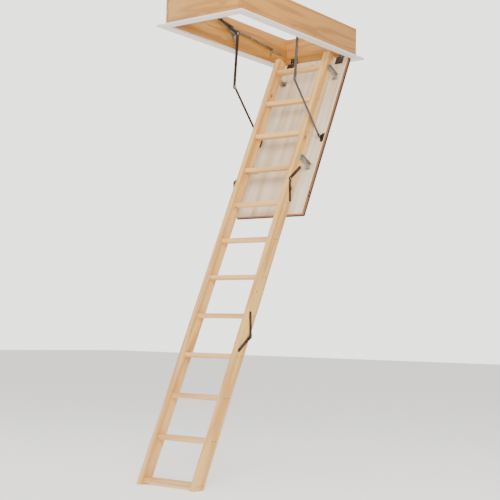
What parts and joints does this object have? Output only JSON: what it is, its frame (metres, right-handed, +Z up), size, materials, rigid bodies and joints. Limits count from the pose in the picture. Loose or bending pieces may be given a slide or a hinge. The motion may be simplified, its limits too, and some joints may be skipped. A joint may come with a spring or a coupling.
{
  "type": "folding attic ladder",
  "caption": "Folding attic ladder: a wooden ceiling frame with an insulated hatch on a spring-assisted linkage, carrying three hinged ladder sections down to the floor.",
  "frame": {"origin": "centre of the ceiling opening, in the plane of the ceiling's underside", "axes": "+X along the treads, to the right of a climber; +Y along the opening towards the hatch hinge; +Z up"},
  "size_m": [0.672, 1.579, 3],
  "materials": {
    "pine": "satin varnish",
    "frame_wood": "clear plywood",
    "trim_paint": "satin paint",
    "zinc": "zinc plated",
    "dark_steel": "bronze-brown paint",
    "edging_wood": "bare wood",
    "panel_paint": "cream paint",
    "foam": "foam",
    "outer_paint": "white paint",
    "seal_rubber": "dark seal",
    "screw_steel": "yellowed zinc",
    "tube_steel": "bright steel",
    "spring_steel": "oiled steel"
  },
  "bodies": {
    "frame": {"left_board": "frame_wood", "right_board": "frame_wood", "hinge_end_board": "frame_wood", "far_end_board": "frame_wood", "trim": "trim_paint", "frame_screws": "zinc", "pivot_plates": "zinc", "spring_anchors": "zinc", "frame_hinge_leaves": "dark_steel", "lock_keeper": "zinc", "hatch_hinge_pins": "zinc", "arm_pivot_pins": "zinc", "anchor_pins": "zinc"},
    "hatch": {"edging": "edging_wood", "attic_panel": "panel_paint", "insulation": "foam", "outer_panel": "outer_paint", "seal": "seal_rubber", "hatch_hinge_leaves": "dark_steel", "lock_case": "dark_steel", "link_brackets": "dark_steel", "standoff_brackets": "zinc", "link_pins": "zinc", "upper_left_stile": "pine", "upper_right_stile": "pine", "upper_treads": "pine", "upper_screws": "screw_steel", "upper_hinge_top_leaves": "dark_steel", "upper_hinge_pins": "zinc"},
    "ring": {"lock_ring": "dark_steel"},
    "bolt": {"lock_bolt": "zinc"},
    "middle": {"middle_left_stile": "pine", "middle_right_stile": "pine", "middle_treads": "pine", "middle_screws": "screw_steel", "upper_hinge_low_leaves": "dark_steel", "lower_hinge_top_leaves": "dark_steel", "lower_hinge_pins": "zinc"},
    "lower": {"lower_left_stile": "pine", "lower_right_stile": "pine", "lower_treads": "pine", "lower_screws": "screw_steel", "lower_hinge_low_leaves": "dark_steel"},
    "arms": {"left_arm": "dark_steel", "right_arm": "dark_steel", "elbow_pins": "zinc", "crank_pins": "zinc"},
    "links": {"left_link": "dark_steel", "right_link": "dark_steel"},
    "tubes": {"left_spring_tube": "tube_steel", "right_spring_tube": "tube_steel", "springs": "spring_steel"},
    "rods": {"left_rod": "tube_steel", "right_rod": "tube_steel", "tie_pins": "zinc"},
    "ties": {"left_tie_bar": "dark_steel", "right_tie_bar": "dark_steel"}
  },
  "joints": [
    {"name": "hatch_hinge", "type": "hinge", "parent": "frame", "child": "hatch", "pos_m": [0, 0.629, -0.007], "axis": [-1, 0, 0], "range_deg": [0, 55]},
    {"name": "middle_fold", "type": "hinge", "parent": "hatch", "child": "middle", "pos_m": [0, -0.00713, -0.91452], "axis": [-1, 0, 0], "range_deg": [0, 105]},
    {"name": "lower_fold", "type": "hinge", "parent": "middle", "child": "lower", "pos_m": [0, -0.38671, -1.92255], "axis": [1, 0, 0], "range_deg": [0, 160]},
    {"name": "arms_swing", "type": "hinge", "parent": "frame", "child": "arms", "pos_m": [0, 0.018, 0.098], "axis": [-1, 0, 0], "range_deg": [0, 78.49]},
    {"name": "links_swing", "type": "hinge", "parent": "hatch", "child": "links", "pos_m": [0, 0.29117, -0.59425], "axis": [1, 0, 0], "range_deg": [0, 82.06]},
    {"name": "tubes_swing", "type": "hinge", "parent": "frame", "child": "tubes", "pos_m": [0, 0.441, 0.088], "axis": [-1, 0, 0], "range_deg": [0, 2.64]},
    {"name": "rods_slide", "type": "slide", "parent": "tubes", "child": "rods", "axis": [0, 0.9966, -0.0818], "range_m": [0, 0.028]},
    {"name": "ties_swing", "type": "hinge", "parent": "rods", "child": "ties", "pos_m": [0, -0.022, 0.126], "axis": [-1, 0, 0], "range_deg": [0, 85.91]},
    {"name": "lock_turn", "type": "hinge", "parent": "hatch", "child": "ring", "pos_m": [0.236, 0.16201, -1.00847], "axis": [0, 0.9063, -0.4226], "range_deg": [0, 90]},
    {"name": "lock_slide", "type": "slide", "parent": "hatch", "child": "bolt", "axis": [1, 0, 0], "range_m": [0, 0.01401]}
  ],
  "couplings": [
    {"joint": "arms_swing", "follows": "hatch_hinge", "ratio": 1.427},
    {"joint": "links_swing", "follows": "hatch_hinge", "ratio": 1.492},
    {"joint": "tubes_swing", "follows": "hatch_hinge", "ratio": 0.048},
    {"joint": "rods_slide", "follows": "hatch_hinge", "m_per_rad": 0.029164},
    {"joint": "ties_swing", "follows": "hatch_hinge", "ratio": 1.562},
    {"joint": "lock_slide", "follows": "lock_turn", "m_per_rad": 0.0089127}
  ]
}
